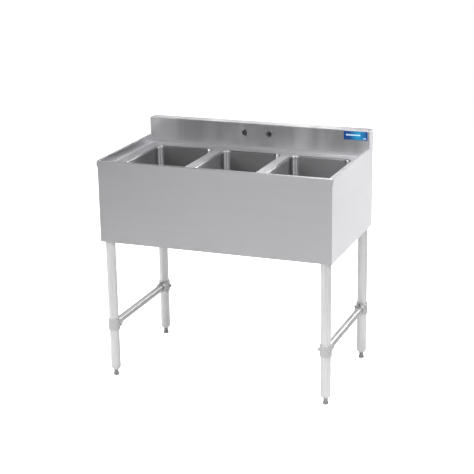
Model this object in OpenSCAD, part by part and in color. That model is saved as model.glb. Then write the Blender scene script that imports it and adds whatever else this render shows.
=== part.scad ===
// Three compartment underbar sink in folded stainless sheet on four tube legs.
// Millimetres. X runs to the right, Y to the rear and Z up. The origin is on the
// floor, at the centre of the box that holds the whole sink.

/* [Overall] */
// Width over the front nosing
width = 914.4; // [900:0.1:960]
// Depth from the nosing to the back of the splash
depth = 533.4; // [520:0.1:580]
// Height of the flat deck above the floor
deck_h = 829; // [780:1:880]
// Height of the raised lip above the deck
lip_h = 35; // [28:1:40]
// Thickness of the stainless sheet
sheet = 1.2; // [1.2:0.1:1.8]

/* [Lip and nosing] */
// Height of the front nosing
nosing_h = 24; // [20:1:28]
// Front to back width of the nosing
nosing_w = 10; // [9:0.5:14]
// How far the nosing stands in front of the apron
front_proud = 3; // [2.5:0.5:4]
// How far the nosing stands out past each end panel
side_proud = 2; // [1:0.5:3]
// Width of the lip along the two ends
side_lip_w = 7; // [3.5:0.5:8]
// Inside radius of the bends between the deck and its upturned edges
cove_r = 3; // [2:0.5:8]

/* [Backsplash] */
// Height of the splash above the deck
splash_h = 101.6; // [90:0.1:150]
// Front to back depth of the splash box
splash_t = 50.8; // [40:0.1:56]
// How far the rear flange of the splash hangs below the deck
splash_drop = 20; // [10:1:60]
// Diameter of the two faucet holes
faucet_hole_d = 22.2; // [20:0.1:30]
// Distance between the faucet hole centres
faucet_centres = 101.6; // [90:0.1:204]
// Faucet hole centres below the top of the splash
faucet_hole_drop = 38.5; // [30:0.5:45]

/* [Panels] */
// Height of the front apron and end panels, measured down from the lip
apron_h = 316; // [300:1:340]
// Width of the folded return flanges
flange_w = 15; // [12:1:18]

/* [Bowls] */
// Width of each bowl over its rim
bowl_w = 247; // [220:1:250]
// Front to back length of each bowl over its rim
bowl_l = 356; // [320:1:360]
// Depth of each bowl below the deck
bowl_depth = 254; // [200:1:258]
// Width of the deck strip between two bowls
bowl_gap = 35; // [32:1:46]
// Width of the deck strip between the bowls and the splash
rear_margin = 46; // [38:1:56]
// Inside radius of the upright bowl corners
bowl_corner_r = 26; // [18:1:40]
// Radius of the rolled rim where the deck turns down into a bowl
rim_r = 7; // [3:0.5:8]
// Inside radius along the bottom edges of a bowl
bowl_floor_r = 16; // [12:1:17]

/* [Drains] */
// Radius of the pressed recess in the bowl floor
recess_r = 42; // [38:1:46]
// Diameter of the drain hole through the bowl
drain_hole_d = 50.8; // [49:0.1:54]
// Outside diameter of the drain flange
drain_flange_d = 72; // [66:1:74]
// Outside diameter of the threaded drain body
drain_body_d = 47.6; // [46:0.1:48]
// Outside diameter of the tailpiece
tailpiece_d = 38.1; // [36:0.1:38.5]
// Height of the lower end of the tailpiece above the floor
tailpiece_end = 482; // [470:1:490]

/* [Legs] */
// Outside diameter of a leg
leg_d = 38.1; // [36:0.1:39]
// Wall of the leg and brace tubes
tube_wall = 1.5; // [1.2:0.1:2]
// Leg axis in from the end of the nosing
leg_inset_x = 30; // [29:0.5:34]
// Leg axis in from the front and from the rear
leg_inset_y = 28; // [27.5:0.5:34]
// Height of the top of a leg above the floor
leg_top = 698; // [660:1:720]
// Height of the lower end of the leg tube above the floor
leg_end = 36; // [34:1:40]
// Outside diameter of the side braces
brace_d = 28.6; // [25:0.1:30]
// Height of the brace axis above the floor
brace_h = 212; // [150:1:300]

/* [Feet] */
// Diameter of the foot pad
foot_d = 22; // [20:0.5:26]
// Diameter of the threaded foot stem
foot_stem_d = 17; // [15:0.5:17]
// Travel of a foot each way from its set height
foot_travel = 12; // [8:1:12]

/* [Label] */
// Width of the blank label on the splash
label_w = 94; // [60:1:110]
// Height of the blank label
label_h = 33; // [20:1:40]

/* [Hidden] */
$fn = 96;
half_w = width / 2;
half_d = depth / 2;
lip_top = deck_h + lip_h;
splash_top = deck_h + splash_h;
apron_bottom = lip_top - apron_h;
panel_x = half_w - side_proud;
panel_in = panel_x - sheet;
apron_y = -half_d + front_proud;
apron_in = apron_y + sheet;
splash_y = half_d - splash_t;
seam_h = 14;
top_bend_r = 4;
side_bend_r = 2;
splash_bend_r = 3;

bowl_pitch = bowl_w + bowl_gap;
bowl_y = splash_y - rear_margin - bowl_l / 2;
bowl_floor = deck_h - bowl_depth;
wall_cx = bowl_w / 2 - rim_r - bowl_corner_r;
wall_cy = bowl_l / 2 - rim_r - bowl_corner_r;
recess_depth = 4;
recess_bend = recess_depth / 2;
seat_z = bowl_floor - recess_depth;

leg_x = half_w - leg_inset_x;
leg_y = half_d - leg_inset_y;
socket_d = 43;
socket_len = 60;
gusset_t = 3;
gusset_z = leg_top + 0.5;
collar_d = 45.5;
collar_h = 46;
collar_reach = 42;
collar_arm_d = 38;
boss_d = 14;
boss_reach = 29;
screw_d = 8;
fit_gap = 0.2;
slide_gap = 0.3;

rail_h = 50;
rail_w = 20;
stiffener_h = 25;
front_stiffener_y = apron_in + 20;
front_stiffener_w = 40;
rear_stiffener_w = 30;

drain_flange_t = 2.5;
drain_throat_d = 42;
drain_len = 48;
gasket_t = 3;
washer_t = 1;
nut_t = 12;
tail_wall = 1.3;
tail_washer_t = 2;
tail_nut_t = 16;
tail_nut_z = -drain_len - tail_washer_t - 4;

LEFT = -1;
RIGHT = 1;
FRONT = -1;
REAR = 1;

steel_colour = [0.77, 0.78, 0.79];
dark_steel_colour = [0.55, 0.56, 0.57];
tube_colour = [0.86, 0.87, 0.88];
cast_colour = [0.68, 0.69, 0.70];
foot_colour = [0.50, 0.51, 0.52];
rubber_colour = [0.15, 0.15, 0.15];
chrome_colour = [0.85, 0.86, 0.87];
label_colour = [0.10, 0.42, 0.70];

// ---------- flat shapes ----------

// Rectangle with round corners, centred
module round_rect(w, l, r) {
    square([w - 2 * r, l], center = true);
    square([w, l - 2 * r], center = true);
    for (sx = [-1, 1], sy = [-1, 1])
        translate([sx * (w / 2 - r), sy * (l / 2 - r)]) circle(r = r);
}

// Quarter of a ring: the bend of a sheet, from angle to angle + 90
module bend(r_in, angle, t = sheet) {
    rotate(angle) intersection() {
        difference() {
            circle(r = r_in + t);
            circle(r = r_in);
        }
        square(r_in + t);
    }
}

// Section of an upturned lip, from its outer face inwards and from the deck up.
// skirt is how far the outer face hangs below the top of the lip.
module lip_section(w, r_top, skirt) {
    translate([w + cove_r, cove_r]) bend(cove_r, 180);
    translate([w - sheet, cove_r]) square([sheet, lip_h - cove_r - r_top]);
    translate([w - r_top, lip_h - r_top]) bend(r_top - sheet, 0);
    if (skirt > 0) {
        translate([r_top, lip_h - sheet]) square([w - 2 * r_top, sheet]);
        translate([r_top, lip_h - r_top]) bend(r_top - sheet, 90);
        translate([0, lip_h - skirt]) square([sheet, skirt - r_top]);
        translate([0, lip_h - skirt]) square([front_proud, sheet]);
    } else {
        translate([0, lip_h - sheet]) square([w - r_top, sheet]);
    }
}

// Runs a section drawn in X and Z along Y
module along_y(length) {
    translate([0, length / 2, 0]) rotate([90, 0, 0]) linear_extrude(length) children();
}

// Runs a section drawn in Y and Z along X
module along_x(length) {
    translate([-length / 2, 0, 0]) rotate([90, 0, 90]) linear_extrude(length) children();
}

// ---------- sheet metal ----------

module bowl_places() {
    for (i = [-1, 0, 1]) translate([i * bowl_pitch, bowl_y, 0]) children();
}

// Room behind the nosing for the sheet of an end panel
module panel_room(side) {
    mirror([side == LEFT ? 1 : 0, 0, 0])
        translate([panel_in, apron_in, deck_h - 2 * sheet])
            cube([sheet + 1, nosing_w + cove_r, lip_h + sheet]);
}

module deck() {
    front_edge = -half_d + nosing_w + cove_r;
    side_edge = panel_x - side_lip_w - cove_r;
    rear_edge = splash_y - cove_r;
    color(steel_colour) {
        // flat deck with a cut-out for each bowl
        translate([0, 0, deck_h - sheet]) linear_extrude(sheet) difference() {
            translate([-side_edge, front_edge]) square([2 * side_edge, rear_edge - front_edge]);
            bowl_places() round_rect(bowl_w, bowl_l, bowl_corner_r + rim_r);
        }
        // front lip and nosing, capped at both ends
        difference() {
            translate([0, -half_d, deck_h])
                along_x(2 * panel_x) lip_section(nosing_w, top_bend_r, nosing_h);
            for (side = [LEFT, RIGHT]) panel_room(side);
        }
        for (side = [LEFT, RIGHT]) translate([side * (half_w - side_proud / 2), -half_d, deck_h])
            along_x(side_proud) translate([nosing_w / 2, lip_h - nosing_h / 2])
                intersection() {
                    translate([0, -nosing_h / 2]) round_rect(nosing_w, 2 * nosing_h, top_bend_r);
                    square([nosing_w, nosing_h], center = true);
                }
        // lips along the two ends
        for (side = [LEFT, RIGHT]) {
            mirror([side == RIGHT ? 1 : 0, 0, 0])
                translate([-panel_x, (apron_in + splash_y) / 2, deck_h])
                    along_y(splash_y - apron_in) lip_section(side_lip_w, side_bend_r, 0);
        }
        // upturned rear edge, as far as the seam with the splash
        translate([0, splash_y, deck_h]) along_x(2 * panel_in) {
            translate([-cove_r, cove_r]) bend(cove_r, 270);
            translate([0, cove_r]) square([sheet, seam_h - cove_r]);
        }
    }
}

module backsplash() {
    top_w = splash_t - 2 * splash_bend_r;
    face_h = splash_h - seam_h - splash_bend_r;
    rear_len = splash_h + splash_drop - splash_bend_r;
    color(steel_colour) difference() {
        translate([0, splash_y, deck_h]) along_x(2 * panel_in) {
            translate([0, seam_h]) square([sheet, face_h]);
            translate([splash_bend_r, splash_h - splash_bend_r]) bend(splash_bend_r - sheet, 90);
            translate([splash_bend_r, splash_h - sheet]) square([top_w, sheet]);
            translate([splash_t - splash_bend_r, splash_h - splash_bend_r])
                bend(splash_bend_r - sheet, 0);
            translate([splash_t - sheet, -splash_drop]) square([sheet, rear_len]);
        }
        for (sx = [-1, 1])
            translate([sx * faucet_centres / 2, splash_y - 1, splash_top - faucet_hole_drop])
                rotate([-90, 0, 0]) cylinder(d = faucet_hole_d, h = sheet + 2);
    }
}

module front_apron() {
    apron_top = lip_top - 6;
    inner_reach = leg_x - socket_d / 2 - 6;
    color(steel_colour) {
        translate([-panel_x, apron_y, apron_bottom])
            cube([2 * panel_x, sheet, apron_top - apron_bottom]);
        // bottom return flange, stopped short of the legs
        translate([-inner_reach, apron_in, apron_bottom])
            cube([2 * inner_reach, flange_w, sheet]);
        translate([-inner_reach, apron_in + flange_w - sheet, apron_bottom + sheet])
            cube([2 * inner_reach, sheet, flange_w / 2]);
    }
}

// Right end panel: the left one is its mirror image
module end_panel_shape() {
    inner_reach = leg_y - socket_d / 2 - 6;
    rear_flange_top = deck_h - splash_drop - 2;
    color(steel_colour) {
        // flat panel, with the ear that closes the end of the splash
        translate([panel_in, 0, 0]) rotate([90, 0, 90]) linear_extrude(sheet) {
            translate([apron_in, apron_bottom])
                square([half_d - apron_in, lip_top - sheet - apron_bottom]);
            translate([splash_y + splash_bend_r, lip_top - sheet])
                square([splash_t - 2 * splash_bend_r, splash_top - lip_top + sheet]);
            translate([splash_y, lip_top - sheet])
                square([splash_t, splash_top - lip_top + sheet - splash_bend_r]);
            for (y = [splash_y + splash_bend_r, half_d - splash_bend_r])
                translate([y, splash_top - splash_bend_r]) circle(r = splash_bend_r);
        }
        // bottom return flange between the legs
        translate([panel_in - flange_w, -inner_reach, apron_bottom])
            cube([flange_w, 2 * inner_reach, sheet]);
        // rear return flange, below the flange of the splash
        translate([panel_in - flange_w, half_d - sheet, leg_top + 2])
            cube([flange_w, sheet, rear_flange_top - leg_top - 2]);
    }
}

module end_panel(side) {
    mirror([side == LEFT ? 1 : 0, 0, 0]) end_panel_shape();
}

// ---------- bowls ----------

// Section of a bowl wall: rolled rim, wall and floor cove, from the corner axis out
module bowl_section() {
    translate([bowl_corner_r + rim_r, -rim_r]) bend(rim_r - sheet, 90);
    translate([bowl_corner_r, bowl_floor_r - bowl_depth])
        square([sheet, bowl_depth - bowl_floor_r - rim_r]);
    translate([bowl_corner_r - bowl_floor_r, bowl_floor_r - bowl_depth]) bend(bowl_floor_r, 270);
}

// Pressed recess round the drain hole
module recess_section() {
    translate([recess_r + recess_bend, -recess_bend]) bend(recess_bend - sheet, 90);
    translate([recess_r - recess_bend, -recess_bend]) bend(recess_bend, 270);
    translate([drain_hole_d / 2, -recess_depth - sheet])
        square([recess_r - recess_bend - drain_hole_d / 2, sheet]);
}

module bowl(i) {
    floor_w = 2 * (wall_cx + bowl_corner_r - bowl_floor_r);
    floor_l = 2 * (wall_cy + bowl_corner_r - bowl_floor_r);
    color(dark_steel_colour) translate([i * bowl_pitch, bowl_y, deck_h]) {
        for (a = [0, 180]) {
            rotate(a) translate([wall_cx, 0, 0]) along_y(2 * wall_cy) bowl_section();
            rotate(a + 90) translate([wall_cy, 0, 0]) along_y(2 * wall_cx) bowl_section();
        }
        for (q = [0 : 3]) {
            sx = (q == 0 || q == 3) ? 1 : -1;
            sy = q < 2 ? 1 : -1;
            translate([sx * wall_cx, sy * wall_cy, 0]) rotate(90 * q)
                rotate_extrude(angle = 90) bowl_section();
        }
        translate([0, 0, -bowl_depth - sheet]) linear_extrude(sheet) difference() {
            round_rect(floor_w, floor_l, bowl_corner_r - bowl_floor_r);
            circle(r = recess_r + recess_bend);
        }
        translate([0, 0, -bowl_depth]) rotate_extrude() recess_section();
    }
}

// ---------- frame under the deck ----------

// Channel open downwards, hung under the deck
module deck_channel(w) {
    translate([-w / 2, -stiffener_h]) square([sheet, stiffener_h]);
    translate([w / 2 - sheet, -stiffener_h]) square([sheet, stiffener_h]);
    translate([-w / 2, -sheet]) square([w, sheet]);
}

module front_stiffener() {
    color(steel_colour)
        translate([0, front_stiffener_y + front_stiffener_w / 2, deck_h - sheet])
            along_x(2 * panel_in) deck_channel(front_stiffener_w);
}

module rear_stiffener() {
    color(steel_colour)
        translate([0, splash_y - 4 - rear_stiffener_w / 2, deck_h - sheet])
            along_x(2 * panel_in) deck_channel(rear_stiffener_w);
}

// Channel between the two rear gussets, open towards the front
module rear_rail() {
    color(steel_colour)
        translate([0, half_d - sheet, gusset_z + gusset_t]) along_x(2 * panel_in) {
            translate([-sheet, 0]) square([sheet, rail_h]);
            translate([-rail_w, 0]) square([rail_w, sheet]);
            translate([-rail_w, rail_h - sheet]) square([rail_w, sheet]);
        }
}

// Moves its children to one of the four leg axes
module at_leg(side, end) {
    translate([side * leg_x, end * leg_y, 0]) children();
}

// Plate across the corner, welded to the end panel above the leg socket.
// Its outline is the same at all four corners, mirrored.
module gusset(side, end) {
    reach_x = panel_in - leg_x;
    outer_y = end == FRONT ? -apron_in - leg_y : half_d - sheet - leg_y;
    in_x = 27;
    in_y = 52;
    color(steel_colour) at_leg(side, end) translate([0, 0, gusset_z]) linear_extrude(gusset_t)
        mirror([side == LEFT ? 1 : 0, 0]) mirror([0, end == FRONT ? 1 : 0]) polygon([
            [reach_x, outer_y], [reach_x, -in_y], [0, -in_y], [-in_x, -in_x], [-in_x, outer_y]
        ]);
}

module leg_socket(side, end) {
    color(cast_colour) at_leg(side, end) difference() {
        translate([0, 0, gusset_z - socket_len]) cylinder(d = socket_d, h = socket_len);
        translate([0, 0, gusset_z - socket_len - 1])
            cylinder(d = leg_d + 2 * fit_gap, h = socket_len + 2);
        translate([0, 0, gusset_z - socket_len + 18]) rotate([0, -side * 90, 0])
            cylinder(d = screw_d + 2 * fit_gap, h = socket_d);
    }
}

// Set screws of the leg sockets, each with a hexagon recess
module set_screw(length) {
    difference() {
        cylinder(d = screw_d, h = length);
        translate([0, 0, length - 4]) cylinder(d = 4.6, h = 5, $fn = 6);
    }
}

module socket_set_screws() {
    color(foot_colour) for (side = [LEFT, RIGHT], end = [FRONT, REAR]) at_leg(side, end)
        translate([0, 0, gusset_z - socket_len + 18]) rotate([0, -side * 90, 0])
            translate([0, 0, leg_d / 2]) set_screw(8);
}

// ---------- legs, braces and feet ----------

module leg(side, end) {
    color(tube_colour) at_leg(side, end) translate([0, 0, leg_end]) difference() {
        cylinder(d = leg_d, h = leg_top - leg_end);
        translate([0, 0, -1]) cylinder(d = leg_d - 2 * tube_wall, h = leg_top - leg_end + 2);
    }
}

// Tapered plug pressed into the lower end of a leg
module leg_tip(side, end) {
    bore_r = foot_stem_d / 2 + slide_gap;
    plug_r = leg_d / 2 - tube_wall;
    color(tube_colour) at_leg(side, end) translate([0, 0, leg_end]) rotate_extrude() polygon([
        [bore_r, -12], [bore_r + 2.8, -12], [leg_d / 2 - 0.6, -3], [leg_d / 2, -1.6],
        [leg_d / 2, 0], [plug_r, 0], [plug_r, 38], [plug_r - 1.5, 40], [bore_r, 40]
    ]);
}

// Screw-in foot: a flared pad on a stem
module foot(side, end) {
    stem_r = foot_stem_d / 2;
    pad_r = foot_d / 2;
    color(foot_colour) at_leg(side, end) rotate_extrude() polygon([
        [0, 0], [pad_r - 1.6, 0], [pad_r - 0.4, 0.7], [pad_r, 2], [pad_r - 0.3, 6.5],
        [stem_r + 0.9, 10], [stem_r, 11.5], [stem_r, 59], [stem_r - 1.5, 60.5], [0, 60.5]
    ]);
}

// Cast tee that holds a brace to a leg. The arm points along Y, the screw boss inwards.
module collar(side, end) {
    color(cast_colour) at_leg(side, end) translate([0, 0, brace_h]) difference() {
        union() {
            translate([0, 0, -collar_h / 2]) rotate_extrude() polygon([
                [0, 0], [collar_d / 2 - 1.5, 0], [collar_d / 2, 1.5],
                [collar_d / 2, collar_h - 1.5], [collar_d / 2 - 1.5, collar_h], [0, collar_h]
            ]);
            rotate([end * 90, 0, 0]) cylinder(d = collar_arm_d, h = collar_reach);
            rotate([0, -side * 90, 0]) cylinder(d = boss_d, h = boss_reach);
        }
        translate([0, 0, -collar_h]) cylinder(d = leg_d + 2 * fit_gap, h = 2 * collar_h);
        rotate([end * 90, 0, 0]) cylinder(d = brace_d + 2 * fit_gap, h = collar_reach + 1);
        rotate([0, -side * 90, 0]) cylinder(d = screw_d + 2 * fit_gap, h = boss_reach + 1);
        translate([0, -end * (collar_reach - 8), 0])
            cylinder(d = screw_d + 2 * fit_gap, h = collar_arm_d);
    }
}

// Two screws to a collar: one against the leg and one down on the brace
module collar_set_screws() {
    color(foot_colour) for (side = [LEFT, RIGHT], end = [FRONT, REAR])
        at_leg(side, end) translate([0, 0, brace_h]) {
            rotate([0, -side * 90, 0]) translate([0, 0, leg_d / 2]) set_screw(12);
            translate([0, -end * (collar_reach - 8), brace_d / 2]) set_screw(8);
        }
}

module brace(side) {
    brace_len = 2 * (leg_y - leg_d / 2 - 1.5);
    color(tube_colour) translate([side * leg_x, 0, brace_h]) rotate([90, 0, 0]) difference() {
        cylinder(d = brace_d, h = brace_len, center = true);
        cylinder(d = brace_d - 2 * tube_wall, h = brace_len + 2, center = true);
    }
}

// ---------- drains ----------

module at_drain(i) {
    translate([i * bowl_pitch, bowl_y, seat_z]) children();
}

// Flanged and threaded body, clamped through the hole in the bowl floor
module drain_body(i) {
    flange_r = drain_flange_d / 2;
    body_r = drain_body_d / 2;
    throat_r = drain_throat_d / 2;
    color(chrome_colour) at_drain(i) rotate_extrude() polygon([
        [body_r, 0], [flange_r, 0], [flange_r, 1], [flange_r - 1.5, drain_flange_t],
        [flange_r - 5, drain_flange_t], [throat_r + 4, 1.6], [throat_r + 1, 0.4],
        [throat_r, -2], [throat_r, -drain_len + 12], [throat_r - 3, -drain_len + 10],
        [throat_r - 3, -drain_len], [body_r, -drain_len]
    ]);
}

// One ring for each drain, from height z down by t
module drain_rings(r_in, r_out, z, t) {
    for (i = [-1, 0, 1]) at_drain(i) translate([0, 0, z - t]) difference() {
        cylinder(r = r_out, h = t);
        translate([0, 0, -1]) cylinder(r = r_in, h = t + 2);
    }
}

module drain_gaskets() {
    color(rubber_colour)
        drain_rings(drain_body_d / 2 + slide_gap, 33, -sheet, gasket_t);
}

module drain_washers() {
    color(tube_colour)
        drain_rings(drain_body_d / 2 + slide_gap, 32, -sheet - gasket_t, washer_t);
}

// Round nut with four lugs
module lug_nut(r_in, r_out, t) {
    difference() {
        union() {
            cylinder(r = r_out, h = t);
            for (a = [0 : 90 : 270]) rotate(a) translate([r_out - 3, -4, 0]) cube([7, 8, t]);
        }
        translate([0, 0, -1]) cylinder(r = r_in, h = t + 2);
    }
}

module drain_locknuts() {
    nut_z = -sheet - gasket_t - washer_t - nut_t;
    color(chrome_colour) for (i = [-1, 0, 1]) at_drain(i) translate([0, 0, nut_z])
        lug_nut(drain_body_d / 2, 31, nut_t);
}

// Flanged tube held up against the drain body by its nut, and relieved inside the nut
module tailpiece(i) {
    r = tailpiece_d / 2;
    neck_r = r - 0.4;
    top = -drain_len - tail_washer_t;
    end = tailpiece_end - seat_z;
    color(chrome_colour) at_drain(i) rotate_extrude() polygon([
        [r - tail_wall, top], [r + 3, top], [r + 3, top - 1.5], [neck_r, top - 1.5],
        [neck_r, tail_nut_z], [r, tail_nut_z], [r, end], [r - tail_wall, end]
    ]);
}

module tailpiece_washers() {
    color(rubber_colour)
        drain_rings(tailpiece_d / 2 - tail_wall, drain_body_d / 2 - 1, -drain_len, tail_washer_t);
}

// Nuts with an inward lip that carries the flange of the tailpiece
module tailpiece_nuts() {
    nut_r = drain_body_d / 2 + 3.5;
    lip_t = 2.5;
    color(chrome_colour) for (i = [-1, 0, 1]) at_drain(i) {
        translate([0, 0, tail_nut_z + lip_t]) lug_nut(drain_body_d / 2, nut_r, tail_nut_t - lip_t);
        translate([0, 0, tail_nut_z]) difference() {
            cylinder(r = nut_r, h = lip_t);
            translate([0, 0, -1]) cylinder(r = tailpiece_d / 2 + fit_gap, h = lip_t + 2);
        }
    }
}

// Lift-out crumb cup: perforated basket with a knob on a post
module strainer(i) {
    throat_r = drain_throat_d / 2;
    rim_out = throat_r + 6;
    cup_r = throat_r - 1.2;
    cup_depth = 24;
    color(chrome_colour) at_drain(i) difference() {
        rotate_extrude() polygon([
            [0, -cup_depth], [cup_r - 3, -cup_depth], [cup_r, -cup_depth + 3], [cup_r, -1.2],
            [throat_r + 1, 0.9], [rim_out, 2.4], [rim_out, 3.4], [throat_r, 2.2], [cup_r - 1.2, 0],
            [cup_r - 1.2, -cup_depth + 3.6], [cup_r - 3.6, -cup_depth + 1.2],
            [3, -cup_depth + 1.2], [3, 7], [6.5, 8.5], [6.5, 11], [5, 12.5], [0, 12.5]
        ]);
        // holes in the bottom and round the side of the cup
        for (ring = [[8.5, 8], [13.5, 14]], k = [0 : ring[1] - 1]) rotate(k * 360 / ring[1])
            translate([ring[0], 0, -cup_depth - 1]) cylinder(d = 3, h = 4);
        for (z = [-16, -10], k = [0 : 11]) rotate(k * 30 + (z == -10 ? 15 : 0))
            translate([cup_r - 3, 0, z]) rotate([0, 90, 0]) cylinder(d = 3.2, h = 5);
    }
}

// ---------- label ----------

// Blank printed label on the face of the splash, near its right end
module splash_label() {
    right_gap = 8;
    top_gap = 4;
    color(label_colour)
        translate([panel_x - right_gap - label_w / 2, splash_y, splash_top - top_gap - label_h / 2])
            rotate([90, 0, 0]) linear_extrude(0.4) round_rect(label_w, label_h, 2);
}

deck();
backsplash();
front_apron();
end_panel(LEFT);  // end_panel_left
end_panel(RIGHT);  // end_panel_right
bowl(-1);  // bowl_left
bowl(0);  // bowl_center
bowl(1);  // bowl_right
front_stiffener();
rear_stiffener();
rear_rail();
gusset(LEFT, FRONT);  // gusset_front_left
gusset(RIGHT, FRONT);  // gusset_front_right
gusset(LEFT, REAR);  // gusset_rear_left
gusset(RIGHT, REAR);  // gusset_rear_right
leg_socket(LEFT, FRONT);  // socket_front_left
leg_socket(RIGHT, FRONT);  // socket_front_right
leg_socket(LEFT, REAR);  // socket_rear_left
leg_socket(RIGHT, REAR);  // socket_rear_right
leg(LEFT, FRONT);  // leg_front_left
leg(RIGHT, FRONT);  // leg_front_right
leg(LEFT, REAR);  // leg_rear_left
leg(RIGHT, REAR);  // leg_rear_right
leg_tip(LEFT, FRONT);  // leg_tip_front_left
leg_tip(RIGHT, FRONT);  // leg_tip_front_right
leg_tip(LEFT, REAR);  // leg_tip_rear_left
leg_tip(RIGHT, REAR);  // leg_tip_rear_right
foot(LEFT, FRONT);  // foot_front_left
foot(RIGHT, FRONT);  // foot_front_right
foot(LEFT, REAR);  // foot_rear_left
foot(RIGHT, REAR);  // foot_rear_right
collar(LEFT, FRONT);  // collar_front_left
collar(RIGHT, FRONT);  // collar_front_right
collar(LEFT, REAR);  // collar_rear_left
collar(RIGHT, REAR);  // collar_rear_right
brace(LEFT);  // brace_left
brace(RIGHT);  // brace_right
collar_set_screws();
socket_set_screws();
drain_body(-1);  // drain_body_left
drain_body(0);  // drain_body_center
drain_body(1);  // drain_body_right
tailpiece(-1);  // tailpiece_left
tailpiece(0);  // tailpiece_center
tailpiece(1);  // tailpiece_right
strainer(-1);  // strainer_left
strainer(0);  // strainer_center
strainer(1);  // strainer_right
drain_gaskets();
drain_washers();
drain_locknuts();
tailpiece_nuts();
tailpiece_washers();
splash_label();
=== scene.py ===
import math

import bmesh
import bpy
from mathutils import Matrix, Vector


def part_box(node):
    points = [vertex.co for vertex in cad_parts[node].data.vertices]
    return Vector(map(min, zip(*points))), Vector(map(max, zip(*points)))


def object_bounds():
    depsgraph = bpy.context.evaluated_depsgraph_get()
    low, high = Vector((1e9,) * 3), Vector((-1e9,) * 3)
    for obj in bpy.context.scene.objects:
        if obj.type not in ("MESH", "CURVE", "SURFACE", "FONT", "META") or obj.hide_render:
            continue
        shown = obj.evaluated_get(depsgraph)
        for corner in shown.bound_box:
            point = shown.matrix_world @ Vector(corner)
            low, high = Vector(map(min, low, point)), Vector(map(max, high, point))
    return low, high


# The look of a free-standing three compartment sink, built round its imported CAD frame.
# Metres. +X is to the right, +Y to the rear, +Z up, and the floor is at z = 0.

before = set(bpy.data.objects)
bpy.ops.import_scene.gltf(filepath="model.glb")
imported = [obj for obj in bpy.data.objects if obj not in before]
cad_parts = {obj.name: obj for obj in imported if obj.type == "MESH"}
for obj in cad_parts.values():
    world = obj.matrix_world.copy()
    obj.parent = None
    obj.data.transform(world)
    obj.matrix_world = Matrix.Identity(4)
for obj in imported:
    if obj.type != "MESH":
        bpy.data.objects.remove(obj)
CAD_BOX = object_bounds()

BOWLS = ("left", "center", "right")
CORNERS = ("front_left", "front_right", "rear_left", "rear_right")
X, Y, Z = (1.0, 0.0, 0.0), (0.0, 1.0, 0.0), (0.0, 0.0, 1.0)
# not quite along the axes, so that none of them is parallel to the normal of a flat face
NEARLY_X, NEARLY_Y, NEARLY_UP = (1.0, 0.0, 0.02), (0.0, 1.0, 0.02), (0.02, 0.01, 1.0)


def outward(azimuth, elevation):
    """Unit vector away from the object. Azimuth 0 is to the front, and it grows to the right."""
    level = math.cos(elevation)
    return Vector((math.sin(azimuth) * level, -math.cos(azimuth) * level, math.sin(elevation)))


# ---------------------------------------------------------------- camera

CAMERA_AZIMUTH = math.radians(21.28)
CAMERA_ELEVATION = math.radians(17.02)
CAMERA_ROLL = math.radians(-0.92)
CAMERA_DISTANCE = 4.823
CAMERA_LENS = 101.24
CAMERA_AIM = Vector((0.0982, CAD_BOX[0].y, 0.6195))


def make_camera():
    """Camera that looks at CAMERA_AIM from in front, a little to the right and above."""
    back = outward(CAMERA_AZIMUTH, CAMERA_ELEVATION)
    right = Vector(Z).cross(back).normalized()
    up = back.cross(right)
    rolled_right = right * math.cos(CAMERA_ROLL) + up * math.sin(CAMERA_ROLL)
    rolled_up = up * math.cos(CAMERA_ROLL) - right * math.sin(CAMERA_ROLL)
    data = bpy.data.cameras.new("camera")
    data.lens = CAMERA_LENS
    data.clip_end = 50.0
    camera = bpy.data.objects.new("camera", data)
    axes = Matrix((rolled_right, rolled_up, back)).transposed().to_4x4()
    camera.matrix_world = Matrix.Translation(CAMERA_AIM + back * CAMERA_DISTANCE) @ axes
    bpy.context.scene.collection.objects.link(camera)
    bpy.context.scene.camera = camera


# ---------------------------------------------------------------- shader helpers


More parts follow.
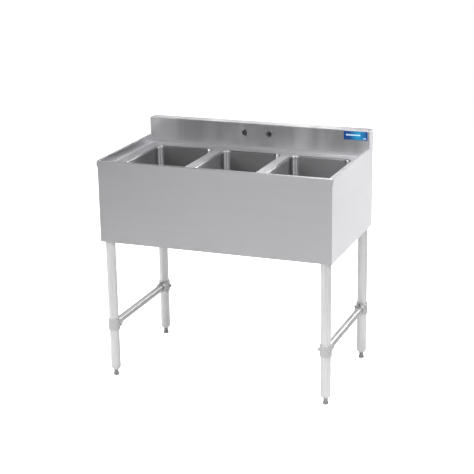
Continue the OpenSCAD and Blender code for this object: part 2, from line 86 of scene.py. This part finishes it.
class Shader:
    """A material under construction: short methods that each add one node."""

    def __init__(self, name):
        self.material = bpy.data.materials.new(name)
        self.material.use_nodes = True
        self.tree = self.material.node_tree
        self.bsdf = self.tree.nodes["Principled BSDF"]
        self.coords = self.tree.nodes.new("ShaderNodeTexCoord").outputs["Object"]
        self.normal = None

    def node(self, kind, **settings):
        made = self.tree.nodes.new(kind)
        for key, value in settings.items():
            setattr(made, key, value)
        return made

    def feed(self, socket, value):
        """Links a socket to an output, or sets it to a plain value."""
        if isinstance(value, bpy.types.NodeSocket):
            self.tree.links.new(value, socket)
        else:
            socket.default_value = value

    def shader_value(self, **values):
        """Sets sockets of the surface shader, named with underscores for spaces."""
        for key, value in values.items():
            self.feed(self.bsdf.inputs[key.replace("_", " ")], value)

    def stretched(self, scale, turn=(0.0, 0.0, 0.0)):
        mapping = self.node("ShaderNodeMapping")
        self.feed(mapping.inputs["Vector"], self.coords)
        mapping.inputs["Scale"].default_value = scale
        mapping.inputs["Rotation"].default_value = turn
        return mapping.outputs["Vector"]

    def noise(self, scale, detail=4.0, roughness=0.5, distortion=0.0, vector=None):
        made = self.node("ShaderNodeTexNoise")
        self.feed(made.inputs["Vector"], vector or self.coords)
        made.inputs["Scale"].default_value = scale
        made.inputs["Detail"].default_value = detail
        made.inputs["Roughness"].default_value = roughness
        made.inputs["Distortion"].default_value = distortion
        return made.outputs["Fac"]

    def ranged(self, value, low, high, from_low=0.0, from_high=1.0):
        made = self.node("ShaderNodeMapRange")
        self.feed(made.inputs["Value"], value)
        made.inputs["From Min"].default_value = from_low
        made.inputs["From Max"].default_value = from_high
        made.inputs["To Min"].default_value = low
        made.inputs["To Max"].default_value = high
        return made.outputs["Result"]

    def math(self, operation, a, b=0.0):
        made = self.node("ShaderNodeMath", operation=operation)
        self.feed(made.inputs[0], a)
        self.feed(made.inputs[1], b)
        return made.outputs["Value"]

    def mixed(self, factor, a, b):
        """Colour between a and b, each of them a plain colour or an output."""
        made = self.node("ShaderNodeMix", data_type="RGBA")
        self.feed(made.inputs["Factor"], factor)
        self.feed(made.inputs[6], a if isinstance(a, bpy.types.NodeSocket) else (*a, 1.0))
        self.feed(made.inputs[7], b if isinstance(b, bpy.types.NodeSocket) else (*b, 1.0))
        return made.outputs[2]

    def bump(self, height, distance, strength=1.0):
        """Adds a layer of relief, distance metres high, on top of the earlier ones."""
        made = self.node("ShaderNodeBump")
        self.feed(made.inputs["Height"], height)
        made.inputs["Distance"].default_value = distance
        made.inputs["Strength"].default_value = strength
        if self.normal is not None:
            self.feed(made.inputs["Normal"], self.normal)
        self.normal = made.outputs["Normal"]

    def finish(self):
        if self.normal is not None:
            self.feed(self.bsdf.inputs["Normal"], self.normal)
        return self.material


WHITE = (1.0, 1.0, 1.0)
STEEL_TINT = (1.0, 0.997, 1.025)
ZINC_TINT = (0.99, 1.0, 1.02)
WASHER_TINT = (1.0, 0.99, 0.95)
# where most values of a noise texture fall
NOISE_SPAN = (0.3, 0.7)
# height of the slow waves of the sheet, in metres
SHEET_WAVE = 0.0003
# slanting pale bands on the splash, a painted reflection: narrow across, long up and down
REFLECTION_BAND_SCALE = (13.0, 3.0, 2.5)
REFLECTION_BAND_TURN = (0.0, 0.6, 0.0)


def grey(value, tint=WHITE):
    return tuple(value * t for t in tint)


def along(axis, long_scale, fine_scale):
    """Scale that stretches a texture along one axis, as brushing does."""
    return tuple(long_scale if a else fine_scale for a in axis)


def across_grain(shader, grain):
    """Direction across the brush lines, the way that a brushed face smears a highlight."""
    geometry = shader.node("ShaderNodeNewGeometry")

    def crossed(a, b):
        made = shader.node("ShaderNodeVectorMath", operation="CROSS_PRODUCT")
        for socket, value in zip(made.inputs, (a, b)):
            shader.feed(socket, value)
        return made.outputs["Vector"]

    normal = geometry.outputs["Normal"]
    if grain is None:
        return crossed(normal, crossed(normal, NEARLY_UP))
    return crossed(normal, NEARLY_X if grain == X else NEARLY_Y)


def brushed_steel(name, shade, roughness, grain, anisotropy=0.85, painted_reflections=0.0):
    """Brushed sheet: faint streaks along the grain, clouding and a slightly uneven surface.

    Without a grain the streaks run level round the piece, as on a drawn bowl. The last option
    adds pale slanting bands, a painted reflection, and says how strong they are.
    """
    s = Shader(name)
    if grain is None:
        fine_scale, broad_scale = (8.0, 8.0, 1500.0), (4.0, 4.0, 200.0)
    else:
        fine_scale, broad_scale = along(grain, 6.0, 1500.0), along(grain, 1.6, 240.0)
    fine = s.noise(1.0, 3.0, 0.6, vector=s.stretched(fine_scale))
    broad = s.noise(1.0, 3.0, 0.55, vector=s.stretched(broad_scale))
    cloud = s.noise(5.0, 3.0, 0.5, distortion=0.6)
    smear = s.noise(1.0, 4.0, 0.6, vector=s.stretched((3.5, 3.5, 6.0), (0.3, 0.5, 0.2)))
    dark, light = grey(shade * 0.975, STEEL_TINT), grey(shade * 1.02, STEEL_TINT)
    tone = s.mixed(s.ranged(broad, 0.0, 1.0, *NOISE_SPAN), dark, light)
    tone = s.mixed(s.ranged(fine, 0.0, 0.22, *NOISE_SPAN), tone, grey(shade * 0.88, STEEL_TINT))
    tone = s.mixed(s.ranged(cloud, 0.0, 0.25, 0.35, 0.75), tone, grey(shade * 1.06, STEEL_TINT))
    # pale slanting bands, lighter than the sheet: a painted reflection
    if painted_reflections:
        reflection_band = s.noise(1.0, 2.0, 0.5, vector=s.stretched(REFLECTION_BAND_SCALE, REFLECTION_BAND_TURN))
        reflection_band_mask = s.ranged(reflection_band, 0.0, painted_reflections, 0.42, 0.62)
        tone = s.mixed(reflection_band_mask, tone, grey(shade * 1.45, STEEL_TINT))
    s.shader_value(Base_Color=tone, Metallic=1.0, Anisotropic=anisotropy)
    s.shader_value(Tangent=across_grain(s, grain))
    by_line = s.ranged(fine, -0.02, 0.02, *NOISE_SPAN)
    by_smear = s.ranged(smear, -0.03, 0.03, *NOISE_SPAN)
    s.shader_value(Roughness=s.math("ADD", s.math("ADD", by_line, by_smear), roughness))
    s.bump(s.noise(2.6, 2.0, 0.4), SHEET_WAVE)
    s.bump(fine, 0.000006, 0.5)
    return s.finish()


def galvanised(name, shade, metallic=0.6):
    """Pale zinc coat on a tube: soft spangle, drawn lines along the tube and dull patches."""
    s = Shader(name)
    spangle = s.node("ShaderNodeTexVoronoi", feature="F1")
    s.feed(spangle.inputs["Vector"], s.coords)
    spangle.inputs["Scale"].default_value = 150.0
    patch = s.noise(28.0, 4.0, 0.6)
    lines = s.noise(1.0, 3.0, 0.6, vector=s.stretched((420.0, 420.0, 5.0)))
    crystals = spangle.outputs["Distance"]
    dull = grey(shade * 0.93, ZINC_TINT)
    tone = s.mixed(s.ranged(patch, 0.0, 0.5, *NOISE_SPAN), grey(shade), dull)
    tone = s.mixed(s.ranged(crystals, 0.0, 0.22, 0.0, 0.8), tone, grey(shade * 0.86))
    tone = s.mixed(s.ranged(lines, 0.0, 0.6, 0.4, 0.62), tone, grey(shade * 0.8))
    s.shader_value(Base_Color=tone, Metallic=metallic)
    s.shader_value(Roughness=s.ranged(patch, 0.32, 0.45, *NOISE_SPAN))
    s.bump(crystals, 0.00005, 0.4)
    s.bump(lines, 0.00003, 0.4)
    return s.finish()


def cast_metal(name, shade):
    """Tumbled casting: pitted skin, darker in the pits."""
    s = Shader(name)
    grains = s.noise(900.0, 5.0, 0.65)
    lumps = s.noise(120.0, 4.0, 0.6)
    tone = s.mixed(s.ranged(grains, 0.0, 1.0, 0.35, 0.65), grey(shade * 0.72), grey(shade * 1.12))
    tone = s.mixed(s.ranged(lumps, 0.0, 0.4, 0.35, 0.7), tone, grey(shade * 0.85))
    s.shader_value(Base_Color=tone, Metallic=0.8)
    s.shader_value(Roughness=s.ranged(lumps, 0.48, 0.66, *NOISE_SPAN))
    s.bump(lumps, 0.0005, 0.5)
    s.bump(grains, 0.0002, 0.6)
    return s.finish()


def foot_finish(name, shade):
    """Grey foot with turned lines and scuffs at the pad."""
    s = Shader(name)
    turned = s.noise(1.0, 3.0, 0.6, vector=s.stretched((60.0, 60.0, 1600.0)))
    scuff = s.noise(190.0, 5.0, 0.7)
    tone = s.mixed(s.ranged(turned, 0.0, 1.0, 0.35, 0.65), grey(shade * 0.85), grey(shade * 1.15))
    tone = s.mixed(s.ranged(scuff, 0.0, 0.6, 0.5, 0.75), tone, grey(shade * 1.5))
    s.shader_value(Base_Color=tone, Metallic=0.35)
    s.shader_value(Roughness=s.ranged(scuff, 0.38, 0.6, *NOISE_SPAN))
    s.bump(turned, 0.0001, 0.5)
    return s.finish()


def plated(name, shade, roughness, tint=WHITE):
    """Polished plating with fine wiping marks and faint water spots."""
    s = Shader(name)
    wipe = s.noise(1.0, 4.0, 0.6, vector=s.stretched((90.0, 90.0, 420.0), (0.4, 0.2, 0.0)))
    spots = s.noise(160.0, 3.0, 0.5)
    spotted = s.ranged(spots, 0.0, 0.4, 0.5, 0.75)
    tone = s.mixed(spotted, grey(shade, tint), grey(shade * 0.85, tint))
    s.shader_value(Base_Color=tone, Metallic=1.0)
    s.shader_value(Roughness=s.ranged(wipe, roughness, roughness + 0.12, *NOISE_SPAN))
    s.bump(wipe, 0.00002, 0.3)
    return s.finish()


def rubber(name):
    s = Shader(name)
    speck = s.noise(700.0, 4.0, 0.6)
    tone = s.mixed(s.ranged(speck, 0.0, 1.0, *NOISE_SPAN), grey(0.018), grey(0.045))
    s.shader_value(Base_Color=tone)
    s.shader_value(Roughness=s.ranged(speck, 0.6, 0.8))
    s.bump(speck, 0.0001, 0.5)
    return s.finish()


# the label: colours, the place and fall of its glow across its width, and two blank bars,
# each with its middle and half size as shares of the label's width and height
LABEL_EDGE, LABEL_MIDDLE = (0.005, 0.05, 0.22), (0.012, 0.34, 0.62)
GLOW_MIDDLE, GLOW_FALL = 0.62, 2.6
LABEL_BARS = (
    ((0.40, 0.56, 0.30, 0.075), (0.55, 0.74, 0.86)),
    ((0.88, 0.20, 0.055, 0.06), (0.55, 0.70, 0.85)),
)


def label_film(name):
    """Blank printed film: deep blue edges, a brighter middle and two plain pale bars."""
    low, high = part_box("splash_label")
    width, height = high.x - low.x, high.z - low.z
    s = Shader(name)
    split = s.node("ShaderNodeSeparateXYZ")
    s.feed(split.inputs[0], s.coords)
    u = s.math("DIVIDE", s.math("SUBTRACT", split.outputs["X"], low.x), width)
    v = s.math("DIVIDE", s.math("SUBTRACT", split.outputs["Z"], low.z), height)

    def bar(middle_u, middle_v, half_u, half_v):
        """1 inside a plain upright rectangle, 0 outside."""
        in_u = s.math("LESS_THAN", s.math("ABSOLUTE", s.math("SUBTRACT", u, middle_u)), half_u)
        in_v = s.math("LESS_THAN", s.math("ABSOLUTE", s.math("SUBTRACT", v, middle_v)), half_v)
        return s.math("MULTIPLY", in_u, in_v)

    from_middle = s.math("ABSOLUTE", s.math("SUBTRACT", u, GLOW_MIDDLE))
    glow = s.math("SUBTRACT", 1.0, s.math("MULTIPLY", from_middle, GLOW_FALL))
    ripple = s.noise(1.0, 2.0, 0.5, 1.2, vector=s.stretched((28.0, 1.0, 70.0), (0.0, 0.5, 0.0)))
    glow = s.math("MULTIPLY", s.math("MAXIMUM", glow, 0.0), s.ranged(ripple, 0.55, 1.0, *NOISE_SPAN))
    tone = s.mixed(glow, LABEL_EDGE, LABEL_MIDDLE)
    for shape, colour in LABEL_BARS:
        tone = s.mixed(bar(*shape), tone, colour)
    s.shader_value(Base_Color=tone, Coat_Weight=0.4)
    s.shader_value(Roughness=s.ranged(s.noise(300.0), 0.28, 0.38))
    s.bump(s.noise(60.0, 2.0), 0.00005, 0.3)
    return s.finish()


# ---------------------------------------------------------------- finishing the CAD nodes

BEVEL_ANGLE = math.radians(35.0)
SMOOTH_ANGLE = math.radians(36.0)
WELD_DISTANCE = 0.000005
AREA_WEIGHT = 100
# widths of the soft edges
FILM_EDGE, THIN_EDGE, SHEET_EDGE, TUBE_EDGE = 0.0001, 0.0002, 0.0003, 0.0004
PLATE_EDGE, NUT_EDGE, SOCKET_EDGE, CAST_EDGE = 0.0005, 0.0005, 0.0006, 0.0008


def finish_node(name, material, bevel=0.0, segments=2):
    """Gives a CAD node its material, soft edges and smooth round faces."""
    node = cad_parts[name]
    node.data.materials.clear()
    node.data.materials.append(material)
    weld = node.modifiers.new("weld", "WELD")
    weld.merge_threshold = WELD_DISTANCE
    if bevel:
        edge = node.modifiers.new("soft_edges", "BEVEL")
        edge.width = bevel
        edge.segments = segments
        edge.limit_method = "ANGLE"
        edge.angle_limit = BEVEL_ANGLE
    for polygon in node.data.polygons:
        polygon.use_smooth = True
    split = node.modifiers.new("crisp_edges", "EDGE_SPLIT")
    split.split_angle = SMOOTH_ANGLE
    flat = node.modifiers.new("flat_faces", "WEIGHTED_NORMAL")
    flat.mode = "FACE_AREA"
    flat.weight = AREA_WEIGHT


def finish_nodes(names, material, bevel=0.0, segments=2):
    for name in names:
        finish_node(name, material, bevel, segments)


def each_corner(prefix):
    return [f"{prefix}_{corner}" for corner in CORNERS]


def each_bowl(prefix):
    return [f"{prefix}_{bowl}" for bowl in BOWLS]


def finish_all_nodes():
    lengthwise = brushed_steel("steel_grain_x", 0.52, 0.40, X)
    # a slightly lighter copy of the sheet steel for the deck, so that its nosing reads lighter than
    # the apron: painted light
    deck_sheet = brushed_steel("steel_deck", 0.53, 0.40, X)
    # a darker copy of the sheet steel for the splash, painted shade, with pale slanting bands that
    # are a painted reflection
    splash_sheet = brushed_steel("steel_splash", 0.46, 0.40, X, painted_reflections=0.5)
    # a much lighter copy of the sheet steel for the end panels: painted light for their bright
    # reflection
    crosswise = brushed_steel("steel_grain_y", 0.66, 0.42, Y)
    # a much darker copy of the sheet steel for the bowls: painted shade inside them
    drawn = brushed_steel("steel_drawn", 0.32, 0.40, None, anisotropy=0.95)
    mill = brushed_steel("steel_mill", 0.48, 0.40, X, anisotropy=0.2)
    tube = galvanised("zinc_tube", 0.64)
    # a darker, duller copy of the tube's zinc for the braces: painted shade
    brace = galvanised("zinc_brace", 0.42, metallic=0.3)
    casting = cast_metal("cast_alloy", 0.56)
    screw = plated("dark_screw", 0.22, 0.35)
    chrome = plated("chrome_plate", 0.70, 0.10)
    zinc = plated("zinc_washer", 0.58, 0.35, WASHER_TINT)
    finish_nodes(("deck",), deck_sheet, SHEET_EDGE)
    finish_nodes(("backsplash",), splash_sheet, SHEET_EDGE)
    finish_nodes(("front_apron",), lengthwise, SHEET_EDGE)
    finish_nodes(("end_panel_left", "end_panel_right"), crosswise, SHEET_EDGE)
    finish_nodes(each_bowl("bowl"), drawn)
    finish_nodes(("front_stiffener", "rear_stiffener", "rear_rail"), mill, SHEET_EDGE)
    finish_nodes(each_corner("gusset"), mill, PLATE_EDGE)
    finish_nodes(each_corner("socket"), mill, SOCKET_EDGE)
    finish_nodes(each_corner("leg"), tube, TUBE_EDGE)
    finish_nodes(("brace_left", "brace_right"), brace, TUBE_EDGE)
    finish_nodes(each_corner("leg_tip"), tube, TUBE_EDGE)
    finish_nodes(each_corner("foot"), foot_finish("foot_grey", 0.26), SHEET_EDGE)
    finish_nodes(each_corner("collar"), casting, CAST_EDGE, 3)
    finish_nodes(("collar_set_screws", "socket_set_screws"), screw, SHEET_EDGE)
    finish_nodes(each_bowl("drain_body") + each_bowl("tailpiece"), chrome, SHEET_EDGE)
    finish_nodes(each_bowl("strainer"), chrome, THIN_EDGE)
    finish_nodes(("drain_locknuts", "tailpiece_nuts"), chrome, NUT_EDGE)
    finish_nodes(("drain_washers",), zinc, THIN_EDGE)
    finish_nodes(("drain_gaskets", "tailpiece_washers"), rubber("black_rubber"), SHEET_EDGE)
    finish_nodes(("splash_label",), label_film("label_film"), FILM_EDGE)


# ---------------------------------------------------------------- stage

FLOOR_SIZE = 9.0
# light that the floor adds where the camera sees it, so that it reads as white
FLOOR_GLOW = 1.0


def make_floor():
    """Plain pale floor under the object."""
    mesh = bpy.data.meshes.new("floor")
    made = bmesh.new()
    bmesh.ops.create_grid(made, x_segments=1, y_segments=1, size=FLOOR_SIZE / 2)
    made.to_mesh(mesh)
    made.free()
    floor = bpy.data.objects.new("floor", mesh)
    bpy.context.scene.collection.objects.link(floor)
    s = Shader("pale_floor")
    tone = s.mixed(s.ranged(s.noise(0.8), 0.0, 1.0), grey(0.86), grey(0.88))
    s.shader_value(Base_Color=tone, Roughness=0.9)
    seen = s.node("ShaderNodeLightPath").outputs["Is Camera Ray"]
    s.shader_value(Specular_IOR_Level=0.1, Emission_Color=(*WHITE, 1.0))
    s.shader_value(Emission_Strength=s.math("MULTIPLY", seen, FLOOR_GLOW))
    mesh.materials.append(s.finish())


def make_area_light(name, place, aim, size, power):
    data = bpy.data.lights.new(name, "AREA")
    data.shape = "RECTANGLE"
    data.size, data.size_y = size
    data.energy = power
    light = bpy.data.objects.new(name, data)
    light.location = place
    direction = Vector(aim) - Vector(place)
    light.rotation_mode = "QUATERNION"
    light.rotation_quaternion = direction.to_track_quat("-Z", "Y")
    light.visible_camera = False
    bpy.context.scene.collection.objects.link(light)


# middle and radius of the sphere that the soft boxes stand on
RING_AIM = (0.0, 0.0, 0.7)
RING_RADIUS = 4.0
# each with its name, azimuth and elevation in degrees, width, height and power in watts
SOFT_BOXES = (
    ("left_box", -75, 20, 1.8, 1.8, 95.0),
    ("rear_right_box", 159, 20, 1.4, 1.4, 71.0),
    ("rear_box", 201, 20, 1.4, 1.4, 18.0),
    ("rear_high_box", 201, 52, 1.4, 1.4, 15.0),
    ("front_box", 0, 52, 1.4, 1.4, 62.0),
    ("front_left_box", -21, 20, 1.4, 1.4, 11.0),
    ("front_right_strip", 36, 32, 0.3, 2.0, 70.0),
    ("overhead_box", 0, 90, 1.6, 1.6, 48.0),
)

# small soft boxes close to the object: name, place, point aimed at, width, height and watts
NEAR_BOXES = (
    ("near_right", (1.3, 0.0, 1.9), (0.2, 0.0, 0.8), 0.6, 0.8, 22.0),
    ("near_left", (-1.3, -0.2, 1.8), (0.0, 0.0, 0.8), 0.6, 0.8, 9.7),
)


def make_ring_light(name, azimuth, elevation, width, height, power):
    """Soft box on a sphere round the object, turned to its middle. Angles in degrees."""
    out = outward(math.radians(azimuth), math.radians(elevation))
    make_area_light(name, Vector(RING_AIM) + out * RING_RADIUS, RING_AIM, (width, height), power)


def make_room():
    """White where the camera sees it, and dark in reflections, where only the soft boxes show."""
    world = bpy.data.worlds.new("room")
    bpy.context.scene.world = world
    world.use_nodes = True
    tree = world.node_tree
    background = tree.nodes["Background"]
    background.inputs["Color"].default_value = (*WHITE, 1.0)
    seen = tree.nodes.new("ShaderNodeLightPath").outputs["Is Camera Ray"]
    tree.links.new(seen, background.inputs["Strength"])


def make_lights():
    for soft_box in SOFT_BOXES:
        make_ring_light(*soft_box)
    for name, place, aim, width, height, power in NEAR_BOXES:
        make_area_light(name, place, aim, (width, height), power)
    make_room()
    bpy.context.scene.view_settings.view_transform = "Standard"


make_camera()
finish_all_nodes()
make_floor()
make_lights()
